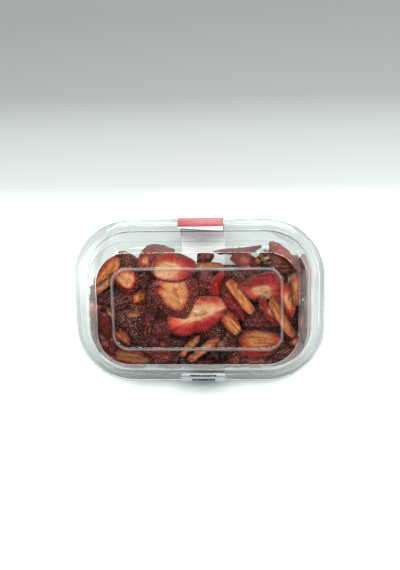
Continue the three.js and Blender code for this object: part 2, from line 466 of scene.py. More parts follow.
# How far back the heap reaches at its top, from the left-hand end to the right-hand end, and how much
# less it reaches for each millimetre further down.
HEAP_BACK_X = [-75, -58, -50, -40, -20, -5, 2, 10, 30, 44, 50, 56, 66]
HEAP_BACK_Y = [14, 33, 33, 29, 31, 31, 26, 31, 31, 33, 42, 45, 38]
HEAP_LEAN = 0.23
print("slices have", round(CEILING_Z - FLOOR_Z, 1), "mm of height to lie in")


# %% Keeping points inside it
def smoothstep(value, low, high):
    """0 up to low, 1 from high on, and smooth between them."""
    t = np.clip((value - low) / (high - low), 0, 1)
    return t * t * (3 - 2 * t)


def heap_back(x, z):
    """How far back the heap reaches at x and height z. It leans forwards a little towards its foot."""
    return np.interp(x, HEAP_BACK_X, HEAP_BACK_Y) - HEAP_LEAN * (HEAP_TOP - z)


def keep_inside(points, in_heap=True):
    """Pushes points in millimetres into the free space and returns them."""
    p = points.copy()
    p[:, 2] = np.clip(p[:, 2], FLOOR_Z, CEILING_Z)
    if in_heap:
        p[:, 1] = np.minimum(p[:, 1], heap_back(p[:, 0], p[:, 2]))
    for _ in range(3):
        inset, gx, gy = inset_of(p[:, 0], p[:, 1])
        push = np.maximum(np.interp(p[:, 2], INNER_Z, INNER_INSET) - inset, 0)
        p[:, 0] -= gx * push
        p[:, 1] -= gy * push
    return p


print("a point beyond the right end comes back to", keep_inside(np.array([[95.0, 0.0, 20.0]]))[0].round(1))

# %% [markdown]
# ## One slice
#
# A slice starts as a flat strawberry outline filled with rings of points from its core to its rim. Each
# point knows two things that the finish needs later: its ring, 0 at the core and 1 at the skin, and its
# spoke, the direction from the core. The flat shape then gets what drying does to fruit: the flesh sinks
# between core and skin, the rim ripples, and the whole slice curls. One function makes every kind, from a
# flat cut slice to a domed end piece that shows only skin, because they differ only in these numbers.

# %% The numbers that shape and colour a slice
RINGS = np.array([0.0, 0.1, 0.21, 0.32, 0.43, 0.54, 0.65, 0.75, 0.84, 0.91, 0.96, 1.0])
COMB_PITCH = 2.0      # from one tooth of the comb along a cut rim to the next
SCALLOP_PITCH = 3.4   # from one wave of the outline to the next
SEED_PITCH = 1.75     # from one seed to the next
CLEAR_PITCH = 1.85    # the same, where single seeds can be told apart

SLICE = dict(
    length=28, width=19, thick=1.9, steps=30,
    # outline: narrower at one end, nicked at the other, wavy, squared off, bowed sideways
    taper=0.22, notch=2.0, scallop=0.012, square=0.0, bow=0.0,
    # form: domed, bevelled from the window outwards, curled about an axis, twisted, warped, wrinkled
    dome=0.0, bevel=0.0, window=9.0, curl=0.012, curl_axis=0.0, twist=0.0, warp=1.0, wrinkle=0.22,
    # pattern: the core's size, the way and how far it's off the middle, and its length
    core_size=1.0, core_reach=0.0, core_way=0.0, core_long=1.0,
    # tone: tawny to rosy, dark to light, striped lengthwise, pale along the edge
    rosy=0.5, light=0.6, stripes=0.0, pale_edge=0.0,
    # seeds: whether it has any, how far apart, and how golden (None: as light as the slice)
    seeds=1, pitch=SEED_PITCH, gold=None)
print("a slice is described by", len(SLICE), "numbers and filled with", len(RINGS), "rings")


# %% The surface of a slice
def pattern_ring(ring, angle, s):
    """The ring value that colours and bevels follow. The core may sit off the slice's middle."""
    reach = 1 - s["core_reach"] * np.cos(angle - math.radians(s["core_way"]))
    return ring / s["core_size"] * reach * np.hypot(s["core_long"] * np.cos(angle), np.sin(angle))


def slice_surface(ring, angle, side, s, noise):
    """Place in millimetres of points on one side of a slice, before it's turned and put in the heap."""
    # Outline: uneven, scalloped, squared off, nicked at one end, tapered and bowed.
    wobble = 1 + sum(a * np.sin(k * angle + f) for k, a, f in noise["outline"])
    wobble = wobble + s["scallop"] * np.sin(noise["scallops"] * angle) * smoothstep(ring, 0.6, 1.0)
    boxy = (np.cos(angle) ** 4 + np.sin(angle) ** 4) ** -0.25
    wobble = wobble * (1 + s["square"] * (boxy - 1))
    x = ring * wobble * s["length"] / 2 * np.cos(angle)
    x = x + s["notch"] * ring * np.exp(-(((np.abs(angle - math.pi)) / 0.4) ** 2))
    y = ring * wobble * s["width"] / 2 * np.sin(angle) * (1 - s["taper"] * np.cos(angle))
    y = y + s["bow"] * (2 * x / s["length"]) ** 2
    # Thickness: sunken flesh, a thicker rim that is rounded off, and small ridges along the spokes.
    body = s["thick"] * (0.62 + 0.38 * smoothstep(ring, 0.55, 0.93)) * np.sqrt(np.clip(1.02 - ring**6, 0.05, 1))
    streak = noise["streak"] * np.sin(noise["streaks"] * angle + 5 * ring + side)
    streak = streak * smoothstep(ring, 0.2, 0.6) * (1 - smoothstep(ring, 0.92, 1.0))
    z = side * (body / 2 + streak)
    # Form: warped, wrinkled, domed, and bevelled outside the window.
    z = z + s["warp"] * sum(a * ring**2 * np.cos(k * angle + f) for k, a, f in noise["warp"])
    z = z + s["wrinkle"] * sum(np.sin(a * x + b * y + f) for a, b, f in noise["wrinkle"])
    z = z + s["dome"] * np.sqrt(np.clip(1 - (ring * 0.97) ** 2, 0, 1))
    over = (pattern_ring(ring, angle, s) - s["window"]) / max(1 - s["window"], 0.05)
    z = z - s["bevel"] * np.clip(over, 0, 1.3) ** 0.8
    # Curl: the slice wraps round a cylinder whose axis lies in its plane, and twists along it.
    a, bend = s["curl_axis"], s["curl"]
    u, v = x * math.cos(a) + y * math.sin(a), -x * math.sin(a) + y * math.cos(a)
    if abs(bend) > 1e-4:
        u, z = np.sin(u * bend) * (1 / bend - z), 1 / bend - np.cos(u * bend) * (1 / bend - z)
    twist = s["twist"] * v
    u, z = u * np.cos(twist) - z * np.sin(twist), u * np.sin(twist) + z * np.cos(twist)
    x, y = u * math.cos(a) - v * math.sin(a), u * math.sin(a) + v * math.cos(a)
    return np.stack([x, y, z], 1)


off_middle = {**SLICE, "core_reach": 0.4}
print("with its core off the middle, the near rim has the value", round(pattern_ring(1, 0, off_middle), 2),
      "and the far rim", round(pattern_ring(1, math.pi, off_middle), 2))

# %% The faces of a slice
def slice_faces(steps):
    """Faces of a slice: two discs of rings, the second one turned over, joined along their edges."""
    half = 1 + steps * (len(RINGS) - 1)
    faces = []
    for first, flip in ((0, False), (half, True)):
        for i in range(steps):
            j = (i + 1) % steps
            here = [(first, first + 1 + i, first + 1 + j)]
            for r in range(len(RINGS) - 2):
                a = first + 1 + r * steps
                here.append((a + i, a + steps + i, a + steps + j, a + j))
            faces += [face[::-1] for face in here] if flip else here
    edge = 1 + (len(RINGS) - 2) * steps
    faces += [(edge + i, half + edge + i, half + edge + (i + 1) % steps, edge + (i + 1) % steps)
              for i in range(steps)]
    return faces, half


print("a slice with 30 steps round has", len(slice_faces(30)[0]), "faces")


# %% One whole slice
def both(values):
    """Values for a slice's upper side, said again for its underside."""
    return np.concatenate([values, values])


def make_slice(rng, **changes):
    """One slice: points, faces, and the values that its finish reads."""
    s = {**SLICE, **changes}
    circumference = math.pi * (s["length"] + s["width"]) / 2
    noise = {
        "outline": [(k, rng.uniform(0.0, 0.06) / (k - 1) ** 0.5, rng.uniform(0, 6.3)) for k in (2, 3, 4, 5, 7)],
        "warp": [(k, rng.uniform(0.2, 0.9), rng.uniform(0, 6.3)) for k in (2, 3)],
        "wrinkle": [(rng.normal(0, 0.9), rng.normal(0, 0.9), rng.uniform(0, 6.3)) for _ in range(4)],
        "scallops": round(circumference / SCALLOP_PITCH),
        "streaks": round(circumference / SCALLOP_PITCH),
        "streak": rng.uniform(0.08, 0.16),
    }
    steps = s["steps"]
    ring = np.concatenate([[0.0], np.repeat(RINGS[1:], steps)])
    angle = np.concatenate([[0.0], np.tile(np.arange(steps) / steps * 2 * math.pi, len(RINGS) - 1)])
    points = np.vstack([slice_surface(ring, angle, side, s, noise) for side in (1, -1)])
    faces, half = slice_faces(steps)
    pattern = pattern_ring(ring, angle, s)
    edge = smoothstep(ring, 0.93, 0.975)
    window = s["window"]
    upper_skin = smoothstep(pattern, window - 0.03, window + 0.03) if window > 0 else np.ones(half)
    comb_teeth = np.full(half, round(circumference / COMB_PITCH))
    seed = rng.uniform(0, 50)
    values = {
        "ring": both(pattern),
        "skin": np.concatenate([np.maximum(upper_skin, edge), edge]),
        "spoke": both(np.stack([np.cos(angle), np.sin(angle), comb_teeth], 1)),
        "flat": np.column_stack([points[:, :2], np.full(2 * half, seed)]),
        "tone": np.tile([s["rosy"], s["light"], s["stripes"]], (2 * half, 1)),
        "edge": both(ring) ** 16 * s["pale_edge"],
        "rim": both(ring),
    }
    seeds = seed_places(np.random.default_rng(int(seed * 1000)), s, noise) if s["seeds"] else []
    return {"points": points, "faces": faces, "values": values, "seeds": seeds}


flat_slice = make_slice(np.random.default_rng(0), seeds=0)
print("a cut slice measures", np.ptp(flat_slice["points"], axis=0).round(1), "mm")

# %% [markdown]
# ## Seeds
#
# The seeds sit in the skin in a staggered pattern, each about a millimetre long and pointing along the
# fruit. A bump or a painted dot would do from far off, but they are modelled one by one, as small flattened
# drops, because they catch the light and give the skins their scale. Each is laid on the skin by asking
# the slice builder for nearby points on the surface, which gives the place, the way up and the way along.

# %% Where the seeds go
SEED_JITTER = 0.16
ROW_SHARE = 0.82        # distance of two rows, as a share of the pitch
ALL_CUT = 0.9           # a window as wide as this leaves no skin on the face
RIM_SEEDS = (0.955, 0.99)


def seed_places(rng, s, noise):
    """Place, normal, direction, size and shade of each seed on a slice's skin."""
    length, width, pitch = s["length"], s["width"], s["pitch"]
    found = []
    # Staggered rows over the face, where it is skin. They close up a little where the slice is narrow.
    row_gap = pitch * ROW_SHARE
    if s["window"] < ALL_CUT:
        for row in range(-int(width / row_gap), int(width / row_gap) + 1):
            for column in range(-int(length / pitch), int(length / pitch) + 1):
                x = (column + 0.5 * (row % 2)) * pitch + rng.normal(0, SEED_JITTER)
                y = row * row_gap + rng.normal(0, SEED_JITTER)
                squeeze, t = 1.0, math.atan2(y / width, x / length)
                for _ in range(3):
                    squeeze = 1 - s["taper"] * math.cos(t)
                    t = math.atan2(y / (width * squeeze), x / length)
                r = math.hypot(x / (length / 2), y / (width / 2 * squeeze))
                if r < 0.97 and pattern_ring(r, t, s) > s["window"] + 0.05:
                    found.append((r, t % (2 * math.pi)))
    # Smaller and darker ones in the skin along the rim.
    count = int(math.pi * (length + width) / 2 / pitch * 1.2)
    found += [(rng.uniform(*RIM_SEEDS), (i + rng.uniform(-0.3, 0.3)) / count * 2 * math.pi % (2 * math.pi))
              for i in range(count)]
    r, t = np.array(found).T
    here = slice_surface(r, t, 1, s, noise)
    ahead = slice_surface(r, t + 0.03, 1, s, noise)
    along = here - slice_surface(np.clip(r - 0.05, 0, 1), t, 1, s, noise)
    normal = unit(np.cross(along, ahead - here))
    on_rim = np.arange(len(r)) >= len(r) - count
    gold = 0.12 + 0.8 * s["light"] if s["gold"] is None else s["gold"]
    size = rng.uniform(0.75, 1.15, len(r)) * np.where(on_rim, 0.8, 1.0)
    shade = rng.uniform(0.1 + 0.35 * gold, 1, len(r)) * (0.36 + 0.6 * gold) * np.where(on_rim, 0.55, 1.0)
    return [here, normal, unit(along), size, shade]


domed = make_slice(np.random.default_rng(0), window=0.0, dome=4.0)
print("a domed skin of the same size carries", len(domed["seeds"][0]), "seeds")


# %% One seed's shape
def seed_drop(sections, sides):
    """Points and faces of one seed, about 1 mm long, lying along x with its flat side down."""
    points = [(-0.5, 0, 0.06)]
    for x, half_width, height in sections:
        for k in range(sides):
            a = k * 2 * math.pi / sides
            points.append((x, half_width * math.cos(a), height * (0.5 + 0.5 * math.sin(a)) - 0.04))
    points.append((0.52, 0, 0.05))
    faces = [(0, 1 + (k + 1) % sides, 1 + k) for k in range(sides)]
    for a in range(1, (len(sections) - 1) * sides, sides):
        faces += [(a + k, a + (k + 1) % sides, a + sides + (k + 1) % sides, a + sides + k)
                  for k in range(sides)]
    last = len(points) - 1
    faces += [(last, last - sides + k, last - sides + (k + 1) % sides) for k in range(sides)]
    return np.array(points), faces


# The seeds on top can be seen well. The thousands below them are simpler, to keep the mesh light.
FINE_SEED = seed_drop(((-0.2, 0.31, 0.26), (0.22, 0.29, 0.24)), 5)
PLAIN_SEED = seed_drop(((0.0, 0.44, 0.3),), 4)
print("a fine seed has", len(FINE_SEED[1]), "faces, a plain one", len(PLAIN_SEED[1]))


# %% [markdown]
# ## Building up the heap
#
# Real slices lie on each other. A rigid body simulation could drop them, but every slice would then depend
# on all the others, and none could be moved by hand. Instead the script lays them one after another on a
# height map of the heap: for every slice it looks up how high the heap stands under each of its points, and
# rests it there. A slice that would touch the lid is let down between its neighbours, as the lid presses
# the real ones.

# %% The height map
CELL = 1.5
GRID_X = np.arange(-80, 80 + CELL, CELL)
GRID_Y = np.arange(-52, 52 + CELL, CELL)
CORE_TOP = 27.0
PRESSED_GAP = 0.25   # left between a slice and what it presses down
height_map = np.full((len(GRID_X), len(GRID_Y)), CORE_TOP)
groups = {}
print("the height map has", height_map.size, "cells of", CELL, "mm")


def cells_of(points):
    """The cells of the height map that points lie over."""
    i = np.clip(((points[:, 0] - GRID_X[0]) / CELL + 0.5).astype(int), 0, len(GRID_X) - 1)
    j = np.clip(((points[:, 1] - GRID_Y[0]) / CELL + 0.5).astype(int), 0, len(GRID_Y) - 1)
    return i, j


# %% Turning a slice, putting it in its place and pressing down
def turned(turn, tilt, tilt_way):
    """Rotation that turns a slice in its plane and then tips it towards a compass direction, in degrees."""
    turn, tilt, way = math.radians(turn), math.radians(tilt), math.radians(tilt_way)
    tip = Matrix.Rotation(tilt, 3, Vector((-math.sin(way), math.cos(way), 0)))
    return np.array(tip @ Matrix.Rotation(turn, 3, "Z"))


def put(group, made, rotation, place, in_heap=True):
    """Turns a slice, moves it to its place, keeps it inside the pack and files it under its group."""
    fitted = keep_inside(made["points"] @ rotation.T + place, in_heap)
    seeds = made["seeds"]
    if seeds:
        at, up, along, size, shade = seeds
        at = keep_inside(at @ rotation.T + place, in_heap)
        seeds = [at, up @ rotation.T, along @ rotation.T, size, shade]
    groups.setdefault(group, []).append({**made, "points": fitted, "seeds": seeds})
    return fitted


def press_down(points):
    """Presses whatever lies under a new slice down to its underside."""
    under = np.full(height_map.shape, np.inf)
    i, j = cells_of(points)
    np.minimum.at(under, (i, j), points[:, 2])
    wide, deep = under.shape
    padded = np.pad(under, 1, constant_values=np.inf)
    under = np.min([padded[a:a + wide, b:b + deep] for a in range(3) for b in range(3)], axis=0)
    for member in [m for name, group in groups.items() if not name.startswith("floor") for m in group]:
        for cloud in [member["points"]] + member["seeds"][:1]:
            limit = under[cells_of(cloud)] - PRESSED_GAP
            cloud[:, 2] = np.where(np.isfinite(limit), np.minimum(cloud[:, 2], limit), cloud[:, 2])


print("a slice turned by 90 degrees points along", turned(90, 0, 0)[:, 0].round(1))

# %% The function that lays a slice on the heap
EYE = np.array([38.5, 146.3, 614.6])   # the camera's place, in millimetres


def along_sight(x, y, z):
    """Slides a place on the heap's top plane along the line of sight to height z."""
    share = (z - EYE[2]) / (HEAP_TOP - EYE[2])
    return EYE[0] + (x - EYE[0]) * share, EYE[1] + (y - EYE[1]) * share


print("10 mm further down, the line of sight moves", np.round(along_sight(0, 0, HEAP_TOP - 10), 1), "mm")


def drop(group, made, x, y, turn, tilt, tilt_way, grip, sink=0.0, top=False):
    """Lays a slice on the heap at x, y. A top slice presses down what it covers.

    It rests where grip percent of its points would be over the heap, so its highest supports dent a little.
    """
    rotation = turned(turn, tilt, tilt_way)
    cloud = made["points"] @ rotation.T
    goal, rest = np.array([x, y]), HEAP_TOP
    for _ in range(3 if top else 1):
        x, y = along_sight(*goal, rest) if top else goal
        i, j = cells_of(cloud + np.array([x, y, 0.0]))
        rest = np.percentile(height_map[i, j] - cloud[:, 2], grip) - sink
        rest = min(rest, CEILING_Z - cloud[:, 2].max())
    if top:
        press_down(cloud + np.array([x, y, rest]))
    fitted = put(group, made, rotation, np.array([x, y, rest]), in_heap=not top)
    i, j = cells_of(fitted)
    np.maximum.at(height_map, (i, j), fitted[:, 2])


# %% [markdown]
# ## The slices that show
#
# The heap has four layers. Filler slices lie at random over the core. Slices stand on edge all round the
# walls, where they show through the clear sides. Some lie on the floor of the tub. A random heap could end
# there, but every pack has a face of its own, so the last slices are listed one by one: a big pale slice in
# the middle with a broad seeded edge, a bright crescent beside it, orange sticks seen on edge, and dark seeded
# skins between them.

# %% The kinds of slice
rng = np.random.default_rng(15)

# A cut slice, the domed end of a berry, an end with its tip cut off, a sepal, and a slice rolled to a stick.
KINDS = {
    "cut": dict(curl=0.012),
    "skin": dict(window=0.0, dome=4.0, thick=1.6, curl=0.01, notch=0.8, scallop=0.02, wrinkle=0.3),
    "bevel": dict(window=0.55, bevel=2.6, thick=1.6, taper=0.12, notch=0.6),
    "leaf": dict(curl=0.09, taper=0.6, thick=0.5, wrinkle=0.3, seeds=0),
    "trough": dict(curl=0.27, curl_axis=math.pi / 2, notch=0.0, taper=0.05, thick=1.2, pale_edge=0.9, warp=0.2,
                   square=0.8, stripes=1.0, core_size=1.5, seeds=0, wrinkle=0.1),
}


def random_kind(rng):
    """A random slice of the mix that fills the pack."""
    kind = rng.choice(["cut", "skin", "bevel"], p=[0.34, 0.56, 0.10])
    length = rng.uniform(19, 33)
    # Their lightness varies at random and is kept low; the low part is painted shade, for the gaps deep in the
    # heap.
    changes = dict(KINDS[kind], length=length, width=length * rng.uniform(0.55, 0.8),
                   rosy=rng.uniform(0, 1), light=rng.uniform(0.02, 0.6) ** 1.5, stripes=rng.uniform(0, 1),
                   curl=rng.normal(0, 0.022), curl_axis=rng.uniform(0, 3.1), twist=rng.normal(0, 0.006))
    if kind == "skin":
        changes["dome"] = rng.uniform(2.0, 6.0)
    return kind, changes


print("kinds of slice:", ", ".join(KINDS))

# %% Filler over the core
FILLER_COUNT = 100
for _ in range(FILLER_COUNT):
    kind, changes = random_kind(rng)
    x, y = rng.uniform(-66, 66), rng.uniform(-42, 27)
    drop(f"filler_{kind}", make_slice(rng, **changes), x, y, turn=rng.uniform(0, 360),
         tilt=rng.uniform(0, 38), tilt_way=rng.uniform(0, 360), sink=1.0, grip=72)
print("heap stands", round(float(height_map.mean()), 1), "mm high on average after the filler")

# %% Slices on edge along the walls
outline = rim_ring(MOUTH, 0, 12, 12, 6)
closed = np.vstack([outline, outline[:1]])
distance_round = np.concatenate([[0], np.cumsum(np.linalg.norm(np.diff(closed, axis=0), axis=1))])

# Each level: its height, how many slices stand there, and how far in from the rim's outline.
SIDE_LEVELS = ((10, 18, 17), (20, 22, 14), (29, 24, 12), (35, 24, 12), (40, 28, 14))
FRONT_TOP, SIDE_TOP = 40.0, 45.0       # how high they may reach at the front and elsewhere
BACK_BARE_ABOVE = 25                   # above this height none stand along the back wall
SMALL_ABOVE = 35                       # above this height they are all smaller and lighter
ENDS_PRESSED_ABOVE, PRESSED = 28, 2.5  # above this height they are pressed this far against the two ends
END_TONES = {-1: (0.25, 0.7), 1: (0.6, 0.45)}   # their skin and lightness, at the left and the right end

for level, (z, count, wall_inset) in enumerate(SIDE_LEVELS):
    for k in range(count):
        kind, changes = random_kind(rng)
        share = (k + 0.5 * (level % 2) + rng.uniform(-0.3, 0.3)) / count % 1.0
        x, y = (np.interp(share * distance_round[-1], distance_round, closed[:, axis]) for axis in (0, 1))
        _, gx, gy = (float(value[0]) for value in inset_of(np.array([x]), np.array([y])))
        if gy > 0.3 and z > BACK_BARE_ABOVE:
            continue
        if z > SMALL_ABOVE:
            changes.update(length=changes["length"] * 0.7, width=changes["width"] * 0.7,
                           light=0.3 + 0.4 * changes["light"])
        depth = wall_inset - MOUTH + rng.uniform(1.0, 4.0)
        place = np.array([x - gx * depth, y - gy * depth, z + rng.uniform(-2, 2)])
        place[1] = min(place[1], heap_back(place[0], z) - 2)
        facing = math.degrees(math.atan2(gy, gx))
        rotation = turned(0, rng.uniform(62, 92), facing) @ turned(rng.uniform(50, 130) + facing, 0, 0)
        made = make_slice(rng, **changes)
        if abs(gx) > 0.5 and z > ENDS_PRESSED_ABOVE:
            end = int(math.copysign(1, gx))
            place[0] += end * PRESSED
            skin_left, light = END_TONES[end]
            made["values"]["skin"] *= skin_left
            made["values"]["tone"][:, :2] = 0.8, light
        reach = (made["points"] @ rotation.T)[:, 2].max()
        place[2] = min(place[2], (FRONT_TOP if gy < -0.5 else SIDE_TOP) - reach)
        put(f"side_{kind}", made, rotation, place)
print(sum(len(group) for name, group in groups.items() if name.startswith("side")), "slices stand on edge")

# %% Slices on the tub's floor
FLOOR_COUNT = 34
for _ in range(FLOOR_COUNT):
    kind, changes = random_kind(rng)
    x, y = rng.uniform(-58, 58), rng.uniform(-32, 20)
    rotation = turned(rng.uniform(0, 360), 180 + rng.uniform(-14, 14), rng.uniform(0, 360))
    made = make_slice(rng, **changes)
    put(f"floor_{kind}", made, rotation, np.array([x, y, FLOOR_Z + rng.uniform(1.5, 5)]))
print(FLOOR_COUNT, "slices lie on the floor, from", round(FLOOR_Z + 1.5, 1), "mm up")

# %% Slices listed one by one, lowest first
# Kind, x, y, length, width, turn, tilt, tilt way, rosy, light, and further changes to the slice.
BY_HAND = [
    ("skin", -66, 10, 19, 15, 20, 12, 200, 0.3, 0.15, {}),
    ("skin", -56, 3, 19, 15, 40, 10, 300, 0.2, 0.28, {}),
    ("skin", -38, 20, 16, 12, 60, 12, 20, 0.3, 0.1, {}),
    ("skin", 34, 22, 26, 15, 0, 14, 90, 0.3, 0.17, dict(gold=0.35, pitch=CLEAR_PITCH)),
    ("skin", -64, -12, 24, 12, -78, 25, 200, 0.7, 0.5, dict(gold=0.3)),
    ("trough", -58, -6, 16, 6, -45, 24, 200, 0.1, 0.6, {}),
    ("skin", -60, -27, 18, 9, 80, 30, 230, 0.7, 0.34, dict(gold=0.2)),
    ("skin", -36, -13, 21, 9, 85, 10, 0, 0.9, 0.5, dict(gold=0.2)),
    ("skin", -24, -15, 20, 14, 10, 8, 90, 0.8, 0.32, dict(gold=0.15)),
    ("skin", -48, 33, 21, 13, -22, 24, 70, 0.6, 0.3, dict(gold=0.5)),
    ("skin", -26, 39, 24, 13, 4, 40, 95, 0.5, 0.55, {}),
    ("cut", -35, 35, 17, 11, 80, 25, 90, 0.6, 0.6, dict(core_size=0.6, core_reach=0.5, core_way=180)),
    ("cut", -62, 25, 29, 15, 50, 30, 142, 0.1, 0.8,
     dict(stripes=1.0, taper=0.0, core_size=1.2, core_long=0.6, core_reach=0.35, core_way=270)),
    ("trough", -65, 18, 20, 8, 38, 20, 320, 0.5, 0.6, {}),
    ("bevel", -49, 19, 21, 18, -80, 6, 30, 0.45, 1.05,
     dict(window=0.6, bevel=3.0, core_reach=0.3, core_way=170, taper=0.3, core_size=1.1, gold=0.75,
          pitch=CLEAR_PITCH)),
    ("cut", -40, 7, 13, 10, 70, 22, 0, 0.1, 0.75, dict(core_reach=0.4, core_way=90, stripes=0.6)),
    ("skin", -31, 6, 24, 13, 80, 14, 200, 0.4, 0.25, {}),
    ("skin", -47, -12, 28, 18, -72, 12, 210, 0.3, 0.22, dict(dome=5.0, taper=0.35, gold=0.8, pitch=2.05)),
    ("trough", -45, -4, 10, 6, 10, 20, 250, 0.3, 0.6, {}),
    ("cut", -53, -21, 15, 8, -50, 22, 200, 0.1, 0.6, dict(stripes=1.0, core_size=1.3)),
    ("skin", 13, -16, 18, 15, 60, 10, 90, 0.3, 0.22, dict(gold=0.6, pitch=CLEAR_PITCH)),
    ("skin", -28, -33, 27, 14, 5, 22, 270, 0.9, 0.42, dict(gold=0.5, pitch=CLEAR_PITCH)),
    ("cut", -48, -36, 28, 15, -12, 26, 265, 0.3, 0.52,
     dict(stripes=1.0, taper=0.15, core_size=1.1, core_long=0.5)),
    ("skin", 27, -36, 18, 11, 80, 24, 270, 0.9, 0.4, dict(gold=0.7, pitch=CLEAR_PITCH)),
    ("skin", 40, -38, 18, 13, 0, 30, 270, 0.9, 0.36, dict(gold=0.5, pitch=CLEAR_PITCH)),
    ("skin", 63, -33, 24, 14, 25, 26, 290, 0.4, 0.3, dict(gold=0.5, pitch=CLEAR_PITCH)),
    ("cut", 27, 40, 36, 7, 8, 66, 95, 0.6, 0.2, dict(taper=0.0)),
    ("skin", 6, 35, 14, 9, 8, 34, 90, 0.4, 0.4, {}),
    ("trough", 9, 30, 19, 5, 0, 20, 90, 0.1, 0.6, {}),
    ("cut", 33, 33, 22, 12, -25, 30, 80, 0.3, 0.35, dict(core_size=0.6)),
    ("cut", 45, 34, 12, 8, 60, 30, 80, 0.1, 0.75, dict(core_size=1.2, curl=0.0)),
    ("skin", 57, 32, 26, 17, -30, 20, 55, 0.6, 0.3, {}),
    ("skin", 61, 37, 31, 9, -42, 50, 45, 0.45, 1.1, dict(dome=1.0, bow=-3.0)),
    ("leaf", 44, 35, 7, 2.8, 60, 20, 90, 0.7, 0.9, {}),
    ("leaf", 46, 33, 6, 2.4, 110, 30, 60, 0.3, 0.9, {}),
    ("leaf", 48, 35, 6, 2.4, 20, 30, 60, 0.3, 0.7, {}),
    ("skin", 5, 18, 22, 16, 78, 12, 180, 0.5, 0.42, dict(gold=0.6, pitch=CLEAR_PITCH)),
    ("cut", 13, 17, 20, 9, 66, 24, 340, 1.0, 1.0,
     dict(core_size=0.13, core_reach=0.4, core_way=270, bow=-1.5)),
    ("skin", 43, -8, 27, 19, -10, 8, 90, 0.55, 0.38, dict(dome=3.0, gold=0.15)),
    ("cut", 0, -5, 49, 29, 12, 6, 280, 0.9, 0.95,
     dict(taper=0.25, core_size=0.8, stripes=0.3, core_reach=0.4, core_way=85, core_long=0.5, bow=2.5)),
    ("bevel", -15, 8, 36, 31, -72, 4, 300, 0.3, 0.93,
     dict(window=0.52, core_size=1.12, core_long=0.85, bevel=4.0, taper=0.4, core_reach=0.12, core_way=180,
          gold=0.75, pitch=CLEAR_PITCH)),
    ("cut", -16, 29, 34, 20, -4, 10, 90, 0.7, 0.78, dict(core_reach=0.6, core_way=212, taper=0.05)),
    ("cut", 26, 2, 25, 11, -58, 8, 215, 0.7, 0.65,
     dict(core_size=0.13, core_reach=0.4, core_way=90, curl=0.0)),
    ("trough", 30, 8, 30, 10, -54, 10, 40, 0.15, 1.08, dict(pale_edge=1.0)),
    ("cut", 45, 14, 33, 22, 178, 8, 110, 0.7, 0.7,
     dict(core_reach=0.6, core_way=93, core_long=0.7, taper=0.5, core_size=0.54, notch=0.0, stripes=0.9)),
    ("cut", 63, 5, 27, 10, -78, 16, 180, 0.6, 0.9, dict(core_size=1.0, curl=0.0)),
    ("cut", 51, -3, 24, 11, -58, 14, 215, 0.6, 0.8, dict(core_size=0.6, curl=0.0)),
    ("trough", 58, -7, 34, 10, -60, 12, 32, 0.1, 0.75, dict(bow=1.5, square=0.4)),
    ("trough", 69, 12, 22, 7, 95, 20, 180, 0.3, 0.75, {}),
    ("cut", 24, -12, 21, 10, -55, 14, 60, 0.1, 0.8,
     dict(stripes=1.0, core_size=1.2, core_long=0.6, core_reach=0.3, core_way=0)),
    ("cut", 43, -26, 34, 23, 2, 14, 275, 0.2, 0.84,
     dict(stripes=1.0, core_reach=0.7, core_way=90, core_size=0.66, core_long=0.6)),
    ("trough", -6, -28, 21, 6, 45, 10, 135, 0.3, 0.62, dict(pale_edge=0.8, wrinkle=0.3)),
    ("trough", 4, -30, 29, 7, 38, 10, 126, 0.4, 0.55, dict(pale_edge=0.8, wrinkle=0.3)),
    ("cut", 68, -25, 10, 8, 60, 20, 0, 0.9, 0.6, {}),
    ("trough", 72, -8, 12, 4, 85, 40, 0, 0.4, 1.0, dict(pale_edge=1.0)),
]
FINE_STEPS = 64
for kind, x, y, length, width, turn, tilt, way, rosy, light, changes in BY_HAND:
    values = {"curl_axis": rng.uniform(0, 3.1), **KINDS[kind], "length": length, "width": width,
              "rosy": rosy, "light": light, "steps": FINE_STEPS, **changes}
    drop(f"top_{kind}", make_slice(rng, **values), x, y, turn=turn, tilt=tilt, tilt_way=way, grip=88, top=True)
print(len(BY_HAND), "slices placed by hand; the heap's top is at", round(float(height_map.max()), 1), "mm")

# %% [markdown]
# ## Finishes of the fruit
#
# One fruit material covers cut faces and skins, because on a real slice they meet without a seam. The
# ring value picks the colour from the pale core through orange or red flesh to the dark rim. Streaks
# that run along the spokes are the fruit's fibres. The skin value brings in the dark, glossy, dimpled skin.
# Every slice carries its own tone: rosy or tawny, light or dark. A painted image would need a drawing for
# every slice. Values stored with the points give each its own pattern, and follow it when it curls.
#
# The seeds are a hard, smooth golden brown, and the sepals a dull olive with brown veins.

# %% Mixing colours
def mix_colour(tree, share, first, second, mode="MIX"):
    """Mixes two colours, each a plain colour or a socket."""
    node = add_node(tree, "Mix", data_type="RGBA", blend_type=mode)
    plug(tree, node, 0, share)
    for index, colour in ((6, first), (7, second)):
        plug(tree, node, index, colour if isinstance(colour, bpy.types.NodeSocket) else (*colour, 1.0))
    return node.outputs[2]


def multiplied(tree, share, colour, by):
    """A colour multiplied by another one, more or less of the way."""
    return mix_colour(tree, share, colour, by, "MULTIPLY")


